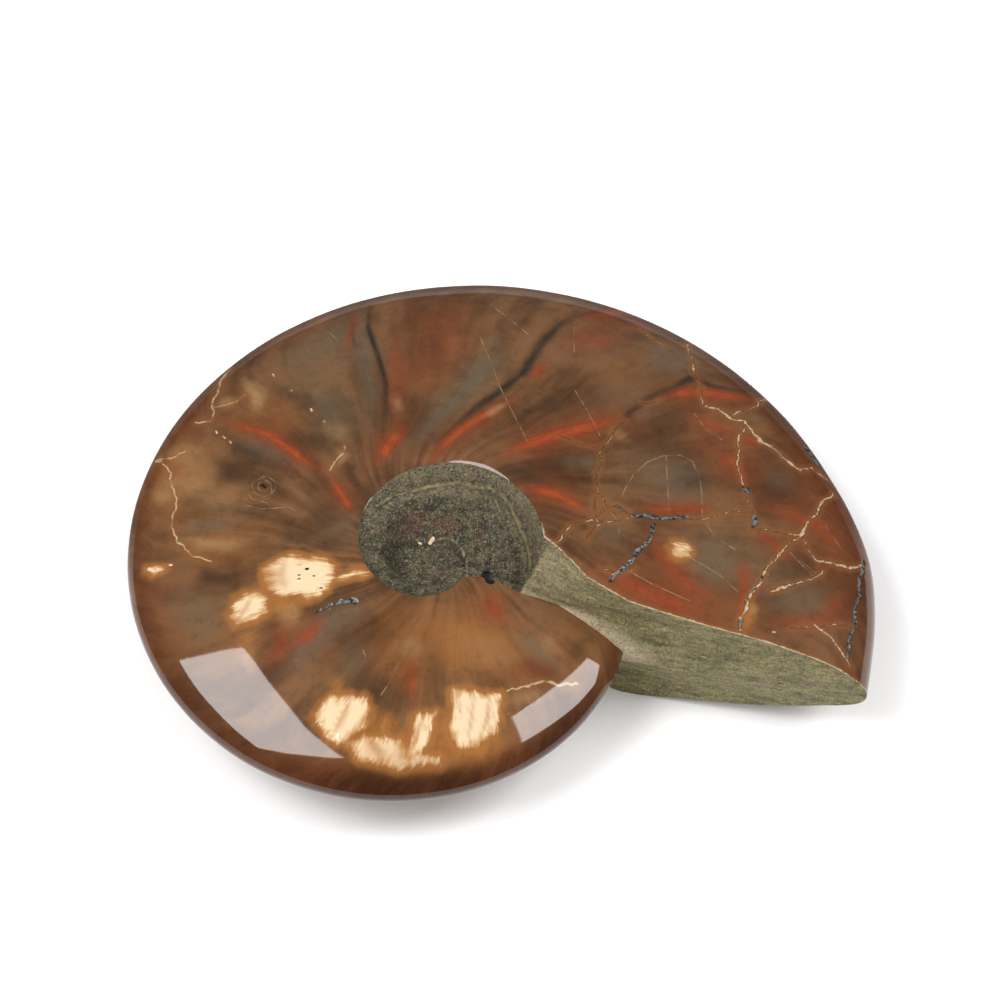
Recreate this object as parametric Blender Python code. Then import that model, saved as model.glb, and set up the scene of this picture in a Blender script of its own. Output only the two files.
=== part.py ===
"""A polished fossil ammonite lying on its side, modelled as the one piece of stone that it is.

The shell is a logarithmic spiral in plan. Every half-plane through the coiling axis cuts it in the
same section, scaled to the size that the whorl has there. The last whorl ends in a cut face, and the
whorl before it comes out from under that face one full turn earlier. Inside the lip of each navel
the polish ends, and the bare stone goes down in steps, one for each older whorl. The underside has
a small flat spot ground on it, on which the fossil rests.

Lengths are in metres and angles in radians. While the shell is made, the coiling axis is Z and the
plane of symmetry is Z = 0. "Back" is the angle turned back round the coil from the cut face.
"""

import math

import bmesh
import bpy
import numpy as np

FULL_TURN = 2 * math.pi

# The coil in plan.
VENTER_RADIUS = 0.1220  # coiling axis to outer rim, at the cut face
GROWTH = 0.1155  # fall of the rim's radius for each radian back, as a power of e
GROWTH_EASING = 0.0015  # the same for each radian squared
END_BULGE = 0.012  # share by which the rim bulges out before the cut, and draws in at the cut
BULGE_BACK = 0.33  # where it bulges most
BULGE_SPREAD = 0.20
CUT_BEARING = math.radians(-16.9)  # direction of the cut face from the axis

# The whorl's half-thickness, as shares of the rim's radius there.
RIM_HALF_THICKNESS = 0.1007
FLANK_RISE = 0.1365  # for each share inwards
FLANK_CROWN = 0.065  # for each share inwards squared
RIM_REACH = 0.30  # width of the rounded rim
RIM_POWER = 2.2  # 2 is an ellipse

# The lip of the navel, where polished shell gives way to bare stone.
LIP_RADIUS = 0.0320  # at the cut face
LIP_GROWTH = 0.1715
LIP_SWAY = 0.045  # how far the lip leaves a true spiral, as a share
LIP_WIDTH = 0.0030
LIP_DROP = 0.0011

# The bare stone in the navel.
STONE_RECESS = 0.0007  # how far it lies under the polish
WALL_SHARE = 0.16  # of a whorl's width, on which the wall under its lip stands
WALL_DROP = (  # height of that wall, at an angle back in degrees
    (-30, 0.0180),
    (0, 0.0175),
    (16, 0.0112),
    (35, 0.0070),
    (105, 0.0055),
    (165, 0.0010),
    (300, 0.0008),
    (400, 0.0019),
)
EYE_LEVEL = 0.0090  # the deepest stone, over the plane of symmetry
EYE_SHIFT = 0.0030  # where it is, from the coiling axis and square to the cut

# The cut face in plan: a distance from the axis, and how far back the line stands there.
CUT_LINE = (
    (0.0305, 0.0054),
    (0.0385, 0.0012),
    (0.0445, -0.0026),
    (0.0570, -0.0050),
    (0.0750, -0.0038),
    (0.1100, -0.0005),
    (0.1220, -0.0008),
)
FOOT_LINE = (
    (0.0125, -0.0044),
    (0.0150, -0.0027),
    (0.0200, -0.0020),
    (0.0265, -0.0029),
    (0.0365, -0.0023),
    (0.0545, -0.0069),
)
FOOT_START = 0.0265  # distance from the axis at which the cut face leaves the navel
CUT_SPREAD = 5  # how soon the rows of the mesh straighten, away from the cut

FLAT_DEPTH = 0.0048  # ground off the lowest point of the underside

# Steps of the mesh.
TURN_STEPS = 72
NAVEL_STEPS = 4  # from the lip to where the cut face leaves the navel
NAVEL_MARGIN = 0.0015  # what those steps take up at the cut face
FLANK_STEPS = 5
RIM_STEPS = 8
WALL_STEPS = 6
STONE_RINGS = (0.965, 0.92, 0.86, 0.78, 0.66, 0.54, 0.43, 0.35, 0.29, 0.2, 0.1)  # share of the edge

SHELL_COLOUR = (0.118, 0.052, 0.026, 1.0)
SHELL_ROUGHNESS = 0.14


def rim_radius(back):
    bulge = np.exp(-(((back - BULGE_BACK) / BULGE_SPREAD) ** 2)) - np.exp(-((back / BULGE_SPREAD) ** 2))
    return VENTER_RADIUS * np.exp(-GROWTH * back - GROWTH_EASING * back**2 + END_BULGE * bulge)


def lip_radius(back):
    return LIP_RADIUS * np.exp(-LIP_GROWTH * back - LIP_SWAY * np.sin(back))


def eased(value):
    value = np.clip(value, 0, 1)
    return value * value * (3 - 2 * value)


def shell_height(distance, back):
    """Height of the polished shell over the plane of symmetry, at a distance from the axis."""
    radius = rim_radius(back)
    inward = 1 - distance / radius
    from_edge = np.clip(inward / RIM_REACH, 0, 1)
    rounding = (1 - (1 - from_edge) ** RIM_POWER) ** (1 / RIM_POWER)
    flank = RIM_HALF_THICKNESS + FLANK_RISE * inward + FLANK_CROWN * inward**2
    bevel = np.clip(1 - (distance - lip_radius(back)) / LIP_WIDTH, 0, 1)
    return radius * flank * rounding - LIP_DROP * bevel**2


def lip_height(back):
    return shell_height(lip_radius(back), back)


def stone_height(plan):
    """Height of the bare stone in the upper navel, at points in plan.

    Every point lies between a lip and the same lip one turn further back. The stone drops down a
    wall from the first, and then runs across the older whorl to the second.
    """
    distance = np.maximum(np.hypot(*plan.T), 0.0005)
    bearing = (np.arctan2(plan[:, 1], plan[:, 0]) - CUT_BEARING) % FULL_TURN
    whorls_in = np.log(lip_radius(bearing) / distance) / (LIP_GROWTH * FULL_TURN)
    across = whorls_in % 1
    back = bearing + FULL_TURN * (whorls_in - across)
    at, drop = np.array(WALL_DROP).T
    lip = lip_height(back)
    seam = lip - np.interp(np.degrees(back), at, drop)
    down = eased(across / WALL_SHARE)
    along = eased((across - WALL_SHARE) / (1 - WALL_SHARE))
    height = lip + (seam - lip) * down + (lip_height(back + FULL_TURN) - seam) * along
    return np.maximum(height - STONE_RECESS, EYE_LEVEL)


def row_distances(share, lip_back, rim_back):
    """Distances from the axis of one row's points, from the lip to the rim."""
    lip = lip_radius(lip_back)
    mark = lip + NAVEL_MARGIN + (FOOT_START - lip - NAVEL_MARGIN) * share**2
    radius = rim_radius(rim_back)
    navel_side = np.linspace(lip, mark, NAVEL_STEPS + 1)[:-1]
    flank = np.linspace(mark, radius * (1 - RIM_REACH), FLANK_STEPS + 1)[:-1]
    angle = np.linspace(math.pi / 2, 0, RIM_STEPS + 1)
    rim = radius * (1 - RIM_REACH * (1 - np.cos(angle) ** (2 / RIM_POWER)))
    return np.concatenate([navel_side, flank, rim])


def set_back(line, distance):
    """The angle by which a line of the cut stands back at a distance from the axis."""
    at, offset = np.array(line).T
    return np.interp(distance, at, offset) / distance


def whorl_row(share):
    """Points across the last whorl, from the upper lip round the rim to the lower lip."""
    back = np.full(1, FULL_TURN * share)
    for _ in range(4):  # the ends of the row settle on the lip and the rim
        distance = row_distances(share, back[0], back[-1])
        at_cut = (1 - share) ** CUT_SPREAD * set_back(CUT_LINE, distance)
        at_foot = share**CUT_SPREAD * set_back(FOOT_LINE, distance)
        back = FULL_TURN * share + at_cut + at_foot
    x = distance * np.cos(CUT_BEARING + back)
    y = distance * np.sin(CUT_BEARING + back)
    upper = np.column_stack([x, y, shell_height(distance, back)])
    lower = upper[-2::-1] * (1, 1, -1)
    return np.concatenate([upper, lower])


def add_points(mesh, points):
    return [mesh.verts.new(point) for point in points]


def add_strip(mesh, first, second):
    """Faces between two rows of the same length."""
    for a, b, c, d in zip(first, first[1:], second[1:], second):
        mesh.faces.new((a, b, c, d))


def places(verts):
    return np.array([tuple(vert.co) for vert in verts])


def fill_navel(mesh, edge_verts, side):
    """Closes a navel inside its edge, with rings of stone that shrink to the eye."""
    eye = EYE_SHIFT * np.array([-math.sin(CUT_BEARING), math.cos(CUT_BEARING)])
    edge = places(edge_verts)[:, :2]
    outer = edge_verts
    for share in STONE_RINGS:
        plan = eye + (edge - eye) * share
        inner = add_points(mesh, np.column_stack([plan, side * stone_height(plan)]))
        add_strip(mesh, outer + outer[:1], inner + inner[:1])
        outer = inner
    bottom = mesh.verts.new((*eye, side * EYE_LEVEL))
    for a, b in zip(outer, outer[1:] + outer[:1]):
        mesh.faces.new((a, b, bottom))


def make_shell(mesh):
    """The whole closed surface, with its coiling axis on Z."""
    rows = [add_points(mesh, whorl_row(share)) for share in np.linspace(0, 1, TURN_STEPS + 1)]
    for newer, older in zip(rows, rows[1:]):
        add_strip(mesh, newer, older)
    # The cut face stands between the last whorl's end and its foot on the whorl before.
    face = slice(NAVEL_STEPS, -NAVEL_STEPS)
    top, foot = rows[0][face], rows[-1][face]
    wall = [foot]
    for share in np.linspace(0, 1, WALL_STEPS + 1)[1:-1]:
        wall.append(add_points(mesh, places(foot) * (1 - share) + places(top) * share))
    wall.append(top)
    for lower, upper in zip(wall, wall[1:]):
        add_strip(mesh, lower, upper)
    # Each navel's edge is the lip all round, then the old whorl out to the foot, then the wall's end.
    for side, end in ((1, slice(None, NAVEL_STEPS + 1)), (-1, slice(-1, -NAVEL_STEPS - 2, -1))):
        edge = [row[end][0] for row in rows[:-1]]
        edge += rows[-1][end]
        edge += [row[0 if side > 0 else -1] for row in wall[1:]]
        edge += rows[0][end][-2:0:-1]
        fill_navel(mesh, edge, side)


def grind_flat(mesh):
    """Takes the resting spot off the underside, and sets it on the ground with the fossil centred."""
    ground = places(mesh.verts)[:, 2].min() + FLAT_DEPTH
    everything = mesh.verts[:] + mesh.edges[:] + mesh.faces[:]
    plane = {"plane_co": (0, 0, ground), "plane_no": (0, 0, -1)}
    bmesh.ops.bisect_plane(mesh, geom=everything, clear_outer=True, **plane)
    bmesh.ops.holes_fill(mesh, edges=[edge for edge in mesh.edges if edge.is_boundary], sides=0)
    corners = places(mesh.verts)
    middle = (corners.min(axis=0) + corners.max(axis=0)) / 2
    bmesh.ops.translate(mesh, verts=mesh.verts, vec=(-middle[0], -middle[1], -ground))


def shell_material():
    material = bpy.data.materials.new("polished_shell")
    material.use_nodes = True
    finish = material.node_tree.nodes["Principled BSDF"]
    finish.inputs["Base Color"].default_value = SHELL_COLOUR
    finish.inputs["Roughness"].default_value = SHELL_ROUGHNESS
    finish.inputs["Metallic"].default_value = 0.0
    material.diffuse_color = SHELL_COLOUR
    return material


def make_ammonite():
    mesh = bmesh.new()
    make_shell(mesh)
    grind_flat(mesh)
    bmesh.ops.triangulate(mesh, faces=mesh.faces)
    bmesh.ops.recalc_face_normals(mesh, faces=mesh.faces)
    data = bpy.data.meshes.new("ammonite")
    mesh.to_mesh(data)
    mesh.free()
    data.shade_smooth()
    data.set_sharp_from_angle(angle=math.radians(35))
    data.materials.append(shell_material())
    ammonite = bpy.data.objects.new("ammonite", data)
    bpy.context.scene.collection.objects.link(ammonite)


for old in list(bpy.data.objects):
    bpy.data.objects.remove(old)
make_ammonite()
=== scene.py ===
import math

import bpy
import numpy as np
from mathutils import Matrix, Vector, kdtree, noise


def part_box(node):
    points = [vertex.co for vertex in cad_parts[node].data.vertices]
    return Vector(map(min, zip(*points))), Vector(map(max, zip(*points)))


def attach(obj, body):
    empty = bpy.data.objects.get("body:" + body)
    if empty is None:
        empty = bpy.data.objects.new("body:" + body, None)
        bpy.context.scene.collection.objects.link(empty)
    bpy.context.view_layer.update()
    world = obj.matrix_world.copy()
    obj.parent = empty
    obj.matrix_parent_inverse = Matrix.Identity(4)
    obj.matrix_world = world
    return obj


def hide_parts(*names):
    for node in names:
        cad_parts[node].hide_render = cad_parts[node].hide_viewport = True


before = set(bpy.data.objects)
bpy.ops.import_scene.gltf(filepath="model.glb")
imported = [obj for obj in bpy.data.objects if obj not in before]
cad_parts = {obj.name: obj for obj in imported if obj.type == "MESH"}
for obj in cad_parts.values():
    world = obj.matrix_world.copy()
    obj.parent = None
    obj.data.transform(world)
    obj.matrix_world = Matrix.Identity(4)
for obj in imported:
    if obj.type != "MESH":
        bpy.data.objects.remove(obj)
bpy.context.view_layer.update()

# The camera stands in front of the fossil and looks steeply down on it, as for a catalogue picture.
# It comes first, because the fossil's marks are placed by where they show in such a picture.

CAMERA_FROM_COIL = np.array([0.01919, -0.44462, 0.70714])  # from the coil's axis at mid-thickness
CAMERA_DOWN = math.radians(56.35)
LENS = 112.0  # millimetres
SENSOR = 36.0
PICTURE = 1000  # pixels across the picture

FORWARD = np.array([0, math.cos(CAMERA_DOWN), -math.sin(CAMERA_DOWN)])
UPWARD = np.array([0, math.sin(CAMERA_DOWN), math.cos(CAMERA_DOWN)])


def sight_lines(pixels):
    """The directions in which the camera sees these pixels."""
    across, down = (np.array(pixels, float).T - PICTURE / 2) * SENSOR / (LENS * PICTURE)
    return FORWARD + np.outer(across, [1, 0, 0]) - np.outer(down, UPWARD)


# The fossil shell is a flat coil of stone, as long as a hand, that formed in one piece inside an
# ammonite's shell. Each half-plane through the coil's axis cuts the last whorl in the same section,
# scaled to its size there. The whorl ends in a broken face, and its foot is one turn further back.

FULL_TURN = 2 * math.pi
VENTER_RADIUS = 0.1220  # coiling axis to outer rim, at the broken face
GROWTH = 0.1155  # fall of the rim's radius for each radian back, as a power of e
GROWTH_EASING = 0.0015  # the same for each radian squared
END_BULGE = 0.012  # share by which the rim bulges out before the end, and draws in at the end
BULGE_BACK = 0.33  # where it bulges most
BULGE_SPREAD = 0.20
CUT_BEARING = math.radians(-16.9)  # direction of the broken face from the axis

# The whorl's half-thickness, as shares of the rim's radius there.
RIM_HALF_THICKNESS = 0.1007
FLANK_RISE = 0.1365  # for each share inwards
FLANK_CROWN = 0.065  # for each share inwards squared
RIM_REACH = 0.30  # width of the rounded rim
RIM_POWER = 2.2  # 2 is an ellipse

# The lip of the navel, where polished shell gives way to bare stone.
LIP_RADIUS = 0.0320  # at the broken face
LIP_GROWTH = 0.1715
LIP_SWAY = 0.045  # how far the lip leaves a true spiral, as a share
LIP_WIDTH = 0.0030
LIP_DROP = 0.0011

# The broken face in plan: a distance from the axis, and how far back the line stands there.
CUT_LINE = (
    (0.0305, 0.0054),
    (0.0385, 0.0012),
    (0.0445, -0.0026),
    (0.0570, -0.0050),
    (0.0750, -0.0038),
    (0.1100, -0.0005),
    (0.1220, -0.0008),
)
# The same for the foot, one turn back.
FOOT_LINE = (
    (0.0125, -0.0044),
    (0.0150, -0.0027),
    (0.0200, -0.0020),
    (0.0265, -0.0029),
    (0.0365, -0.0023),
    (0.0545, -0.0069),
)
FOOT_START = 0.0265  # distance from the axis at which the broken face leaves the navel
CUT_SPREAD = 5  # how soon the rows of the mesh straighten, away from the broken face

# Steps of the first mesh. Those of a row are by the navel, on the flank and on the rim.
TURN_STEPS = 180
UPPER_STEPS = (4, 22, 20)
LOWER_STEPS = (3, 9, 14)
WALL_STEPS = 16
NAVEL_MARGIN = 0.0015  # what the steps by the navel take up at the broken face
ROW_ROUNDS = 4  # rounds in which a row finds its place, because its distances hang on its angles


def eased(value):
    """0 up to 0, 1 from 1 on, and smooth between."""
    value = np.clip(value, 0, 1)
    return value * value * (3 - 2 * value)


def rim_radius(back):
    bulge = np.exp(-(((back - BULGE_BACK) / BULGE_SPREAD) ** 2)) - np.exp(-((back / BULGE_SPREAD) ** 2))
    return VENTER_RADIUS * np.exp(-GROWTH * back - GROWTH_EASING * back**2 + END_BULGE * bulge)


def lip_radius(back):
    return LIP_RADIUS * np.exp(-LIP_GROWTH * back - LIP_SWAY * np.sin(back))


def flank_and_drop(distance, back):
    """Height of the flank if it ran straight to the rim, and how far the rounded rim is under it."""
    radius = rim_radius(back)
    inward = 1 - distance / radius
    from_edge = np.clip(inward / RIM_REACH, 0, 1)
    rounding = (1 - (1 - from_edge) ** RIM_POWER) ** (1 / RIM_POWER)
    flank = radius * (RIM_HALF_THICKNESS + FLANK_RISE * inward + FLANK_CROWN * inward**2)
    return flank, flank * (1 - rounding)


def shell_height(distance, back):
    flank, drop = flank_and_drop(distance, back)
    bevel = np.clip(1 - (distance - lip_radius(back)) / LIP_WIDTH, 0, 1)
    return flank - drop - LIP_DROP * bevel**2


def row_distances(share, lip_back, rim_back, steps):
    """Where the points of a row lie, as distances from the axis."""
    navel_steps, flank_steps, rim_steps = steps
    lip = lip_radius(lip_back)
    start = lip + NAVEL_MARGIN + (FOOT_START - lip - NAVEL_MARGIN) * share**2
    radius = rim_radius(rim_back)
    navel_side = np.linspace(lip, start, navel_steps + 1)[:-1]
    flank = np.linspace(start, radius * (1 - RIM_REACH), flank_steps + 1)[:-1]
    angle = np.linspace(math.pi / 2, 0, rim_steps + 1)
    rim = radius * (1 - RIM_REACH * (1 - np.cos(angle) ** (2 / RIM_POWER)))
    return np.concatenate([navel_side, flank, rim])


def set_back(line, distance):
    """The angle by which the broken face or its foot stands back at this distance."""
    at, offset = np.array(line).T
    return np.interp(distance, at, offset) / distance


def half_row(share, steps):
    """Points from the upper lip to the rim, each with its share of a turn as a fourth number."""
    back = np.full(1, FULL_TURN * share)
    for _ in range(ROW_ROUNDS):
        distance = row_distances(share, back[0], back[-1], steps)
        at_cut = (1 - share) ** CUT_SPREAD * set_back(CUT_LINE, distance)
        at_foot = share**CUT_SPREAD * set_back(FOOT_LINE, distance)
        back = FULL_TURN * share + at_cut + at_foot
    x = distance * np.cos(CUT_BEARING + back)
    y = distance * np.sin(CUT_BEARING + back)
    return np.column_stack([x, y, shell_height(distance, back), np.full(len(x), share)])


def whorl_row(share):
    """Points round one whole section of the whorl, from the upper lip to the lower one."""
    lower = half_row(share, LOWER_STEPS)[-2::-1] * (1, 1, -1, 1)
    return np.concatenate([half_row(share, UPPER_STEPS), lower])


# The navels are the hollows in the middle of both sides, where no shell is left on the bare stone.
# The stone goes down in steps under each lip, one for every older whorl, to the eye of the coil.

STONE_RECESS = 0.0007  # how far the stone lies under the polish
WALL_SHARE = 0.16  # of a whorl's width, on which the wall under its lip stands
WALL_DROP = (  # height of that wall, at an angle back in degrees
    (-30, 0.0180),
    (0, 0.0175),
    (16, 0.0112),
    (35, 0.0070),
    (105, 0.0055),
    (165, 0.0010),
    (300, 0.0008),
    (400, 0.0019),
)
EYE_LEVEL = 0.0090  # the deepest stone, over the plane of symmetry
EYE_SHIFT = 0.0030  # where it is, from the coiling axis and square to the broken face
SMALLEST_DISTANCE = 0.0005  # keeps logarithms sound at the axis


def turned_back(plan):
    """Angle back from the cut, within one turn, and distance from the axis."""
    distance = np.maximum(np.hypot(plan[:, 0], plan[:, 1]), SMALLEST_DISTANCE)
    return (np.arctan2(plan[:, 1], plan[:, 0]) - CUT_BEARING) % FULL_TURN, distance


def across_navel(plan):
    """How far a point of the navel is across its whorl, from 0 at one lip to 1 at the next, with
    the angle back of its whorl there."""
    bearing, distance = turned_back(plan)
    whorls_in = np.log(lip_radius(bearing) / distance) / (LIP_GROWTH * FULL_TURN)
    across = whorls_in % 1
    return across, bearing + FULL_TURN * (whorls_in - across)


def lip_height(back):
    return shell_height(lip_radius(back), back)


def stone_height(plan):
    """Height of the bare stone, over the plane of symmetry."""
    across, back = across_navel(plan)
    at, drop = np.array(WALL_DROP).T
    lip = lip_height(back)
    seam = lip - np.interp(np.degrees(back), at, drop)
    down = eased(across / WALL_SHARE)
    along = eased((across - WALL_SHARE) / (1 - WALL_SHARE))
    height = lip + (seam - lip) * down + (lip_height(back + FULL_TURN) - seam) * along
    return np.maximum(height - STONE_RECESS, EYE_LEVEL)


def top_height(plan):
    """Height of the upper side as it is seen from above."""
    back, distance = turned_back(plan)
    back -= FULL_TURN * (back - FULL_TURN > set_back(CUT_LINE, distance))
    on_shell = shell_height(np.minimum(distance, rim_radius(back)), back)
    return np.where(distance < lip_radius(back), stone_height(plan), on_shell)


FIRST_HEIGHT = 0.02
SIGHT_ROUNDS = 60
SIGHT_STEP = 0.4  # share of the height's error that a round takes away


def on_top(pixels):
    """Where the camera sees these pixels on the upper side, in plan."""
    lines = sight_lines(pixels)
    height = np.full(len(lines), FIRST_HEIGHT)
    for _ in range(SIGHT_ROUNDS):
        spots = CAMERA_FROM_COIL + lines * ((height - CAMERA_FROM_COIL[2]) / lines[:, 2])[:, None]
        height += SIGHT_STEP * (top_height(spots[:, :2]) - height)
    return spots[:, :2]


# The cracks run through the last third of the whorl, which broke and was healed by minerals. Most
# are filled with pale lime, some with dark blue-grey stone, and hairlines and scratches lie between.
# A mark is its half width in millimetres and its route in pixels of the picture.

PALE_CRACKS = (
    (0.26, ((687, 342), (694, 370), (700, 387), (704, 404))),
    (0.55, ((706, 407), (722, 411), (732, 419), (744, 422), (750, 430), (762, 442), (775, 450))),
    (0.50, ((775, 450), (787, 459), (800, 471))),
    (0.30, ((800, 471), (812, 469), (820, 473), (828, 480))),
    (0.36, ((733, 414), (755, 407), (767, 400))),
    (0.34, ((744, 424), (739, 442), (737, 455), (740, 470), (741, 485))),
    (0.28, ((747, 495), (750, 502), (751, 514))),
    (0.16, ((687, 520), (710, 517), (735, 512), (750, 511))),
    (0.22, ((625, 421), (611, 436), (601, 454), (597, 480), (595, 520))),
    (0.24, ((595, 520), (606, 509), (617, 505), (625, 509), (632, 516))),
    (0.28, ((630, 518), (612, 520), (595, 521), (574, 523), (562, 533), (557, 541), (548, 544))),
    (0.40, ((832, 495), (820, 507), (810, 522), (797, 540), (780, 552), (767, 569), (760, 578))),
    (0.50, ((760, 580), (755, 590), (748, 600), (742, 615), (741, 631))),
    (0.34, ((770, 593), (781, 587), (795, 583), (812, 580), (822, 572))),
    (0.58, ((819, 561), (834, 565), (850, 567), (862, 565))),
    (0.28, ((801, 538), (809, 549), (820, 562))),
    (0.20, ((752, 530), (775, 531), (799, 536))),
    (0.34, ((815, 625), (822, 630), (832, 641), (843, 655), (851, 668))),
    (0.20, ((790, 629), (817, 626), (850, 627))),
    (0.18, ((641, 330), (654, 339), (668, 348))),
    (0.18, ((560, 437), (580, 443), (600, 450))),
    (0.22, ((642, 403), (650, 402), (657, 400))),
    (0.20, ((600, 522), (593, 531), (586, 540))),
    (0.24, ((600, 570), (622, 573), (634, 569))),
    (0.22, ((601, 496), (606, 505), (618, 513))),
)
DARK_CRACKS = (
    (0.75, ((633, 517), (650, 516), (668, 518), (686, 518))),
    (0.65, ((655, 523), (651, 535), (643, 546), (634, 556), (622, 569), (611, 580))),
    (0.75, ((742, 489), (749, 492))),
    (0.80, ((753, 515), (755, 526))),
    (0.40, ((771, 447), (779, 453), (787, 459))),
    (0.85, ((806, 446), (811, 455), (816, 463))),
    (0.55, ((863, 560), (861, 580), (858, 600), (854, 622), (850, 640), (846, 656))),
    (0.42, ((762, 575), (760, 580))),
    (0.42, ((756, 587), (753, 592))),
    (0.45, ((746, 598), (745, 602))),
    (0.55, ((742, 620), (741, 629))),
    (0.45, ((617, 505), (625, 510))),
    (0.14, ((617, 430), (607, 441), (600, 455), (597, 478), (595, 517))),
    (0.55, ((318, 611), (330, 606))),
    (0.75, ((335, 605), (343, 603), (354, 600))),
    (0.22, ((852, 563), (862, 568))),
)
HAIRLINES = (
    (0.10, ((480, 337), (490, 360), (500, 387), (527, 441))),
    (0.10, ((490, 304), (508, 318), (529, 335))),
    (0.08, ((575, 390), (588, 412), (600, 436))),
    (0.09, ((634, 474), (647, 462), (662, 456), (680, 455), (692, 461), (699, 476), (702, 495), (702, 516))),
    (0.07, ((666, 457), (669, 512))),
    (0.09, ((634, 474), (626, 487), (620, 500))),
    (0.12, ((703, 518), (714, 536))),
    (0.11, ((720, 541), (728, 545), (736, 550))),
    (0.09, ((825, 525), (833, 537), (841, 549))),
    (0.08, ((790, 552), (801, 564), (813, 576))),
    (0.08, ((688, 556), (720, 575), (738, 592))),
    (0.09, ((620, 566), (650, 583), (690, 601))),
    (0.07, ((245, 505), (262, 509), (290, 507), (297, 512))),
    (0.07, ((255, 482), (262, 477), (271, 483), (272, 493))),
    (0.07, ((245, 488), (252, 499), (268, 503))),
    (0.08, ((330, 333), (338, 341))),
    (0.08, ((611, 512), (618, 522), (619, 535))),
    (0.10, ((381, 695), (390, 682), (399, 662))),
    (0.08, ((363, 650), (366, 658))),
    (0.08, ((574, 327), (574, 352))),
    (0.09, ((694, 413), (705, 428), (722, 440))),
    (0.07, ((772, 560), (768, 575))),
    (0.08, ((800, 560), (815, 573))),
)
# A flake scar is where a thin layer of the shell has sprung off. Its edge shows as a pale line.
FLAKE_EDGES = (
    (0.26, ((228, 371), (218, 388), (213, 404), (213, 413), (210, 420), (196, 423))),
    (0.22, ((157, 460), (169, 471), (174, 486), (175, 500), (176, 510))),
    (0.20, ((176, 510), (171, 527), (177, 542), (195, 555), (212, 563))),
    (0.24, ((157, 460), (172, 459), (186, 450))),
    (0.26, ((346, 446), (344, 454), (333, 461), (331, 470))),
    (0.16, ((215, 406), (236, 403), (244, 396))),
    (0.16, ((505, 692), (516, 689), (528, 685))),
    (0.32, ((528, 685), (540, 681), (548, 682), (557, 687), (567, 683), (576, 682))),
)
PALE_SPECKS = (
    (0.20, ((273, 374), (274, 376))),
    (0.14, ((291, 390), (292, 391))),
    (0.22, ((311, 409), (312, 411))),
    (0.12, ((324, 421), (325, 422))),
    (0.22, ((216, 431), (217, 433))),
    (0.15, ((223, 436), (225, 438))),
    (0.17, ((230, 441), (231, 443))),
    (0.45, ((149, 569), (154, 571))),
    (0.26, ((170, 565), (172, 565))),
    (0.20, ((773, 632), (775, 632))),
    (0.50, ((430, 543), (433, 539))),
    (0.28, ((419, 543), (421, 544))),
)
DARK_SPECKS = (
    (0.30, ((306, 569), (308, 569))),
    (0.16, ((298, 575), (300, 575))),
    (0.16, ((298, 579), (300, 579))),
    (0.14, ((313, 576), (315, 576))),
    (0.16, ((320, 588), (322, 588))),
    (0.40, ((262, 485), (265, 487))),
    # The largest is a notch in the navel's stone, painted black for the shade in its hollow as well as
    # dented.
    (1.30, ((487, 573), (490, 580))),
)
# The seams between the whorls show in the navel as thin pale ridges.
NAVEL_SEAMS = (
    (0.13, ((376, 506), (393, 496), (406, 493), (430, 486), (459, 482), (491, 487), (503, 494),
            (511, 505), (518, 520), (524, 534), (530, 552), (532, 566), (530, 579))),
    (0.11, ((467, 574), (467, 562), (464, 553), (459, 544), (451, 539), (443, 538), (434, 541))),
    (0.08, ((496, 500), (500, 512), (504, 520))),
)
# An old scar lies in two rings round a dark dot.
RING_MIDDLE = (263.7, 486.0)
RING_SIZES = (6.0, 12.0)
RING_SLANT = 0.85  # height of a ring in the picture over its width
RING_WIDTH = 0.07
FAR = 0.005  # a distance past which a mark shows nothing
MILLIMETRES = 1000


def placed(marks):
    """The marks with their half widths in metres and their routes in plan."""
    return [(half_width / MILLIMETRES, on_top(route)) for half_width, route in marks]


def ring(size):
    turn = np.radians(np.arange(0, 361, 30))
    return np.array(RING_MIDDLE) + size * np.column_stack([np.cos(turn), RING_SLANT * np.sin(turn)])


pale_cracks = placed(PALE_CRACKS)
dark_cracks = placed(DARK_CRACKS)
hairlines = placed(HAIRLINES) + placed([(RING_WIDTH, ring(size)) for size in RING_SIZES])
flake_edges = placed(FLAKE_EDGES)
pale_specks = placed(PALE_SPECKS)
dark_specks = placed(DARK_SPECKS)
navel_seams = placed(NAVEL_SEAMS)


def wavering(plan):
    """The plan moved a little this way and that, so that straight routes come out uneven."""
    x, y = plan.T * MILLIMETRES
    across = 0.40 * np.sin(0.61 * y + 0.2 * x) + 0.14 * np.sin(1.9 * y - 0.7 * x)
    along = 0.40 * np.sin(0.57 * x - 0.3 * y) + 0.14 * np.sin(2.1 * x + 0.6 * y)
    across += 0.05 * np.sin(4.4 * y + x)
    along += 0.05 * np.sin(4.1 * x - y)
    return plan + np.column_stack([across, along]) / MILLIMETRES


def near_route(plan, spots, reach):
    """Which points are in the box round a route."""
    low, high = spots.min(axis=0) - reach, spots.max(axis=0) + reach
    return np.nonzero(np.all((plan > low) & (plan < high), axis=1))[0]


def gap_and_place(plan, start, end):
    """Distance of each point from the straight line between two spots, and how far along it is."""
    run = end - start
    along = np.clip((plan - start) @ run / (run @ run), 0, 1)
    return np.hypot(*(plan - start - along[:, None] * run).T), along * np.hypot(*run)


def clearance(plan, marks):
    """Distance from the edge of the nearest mark, less than 0 inside it, in metres."""
    nearest = np.full(len(plan), FAR)
    for half_width, spots in marks:
        near = near_route(plan, spots, FAR)
        for start, end in zip(spots, spots[1:]):
            gap, _ = gap_and_place(plan[near], start, end)
            nearest[near] = np.minimum(nearest[near], gap - half_width)
    return nearest


# The pale patches are places where the shell has turned to chalky, fibrous lime. Each has the
# outline that it shows in the picture, in pixels, with brown fibres round it.

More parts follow.
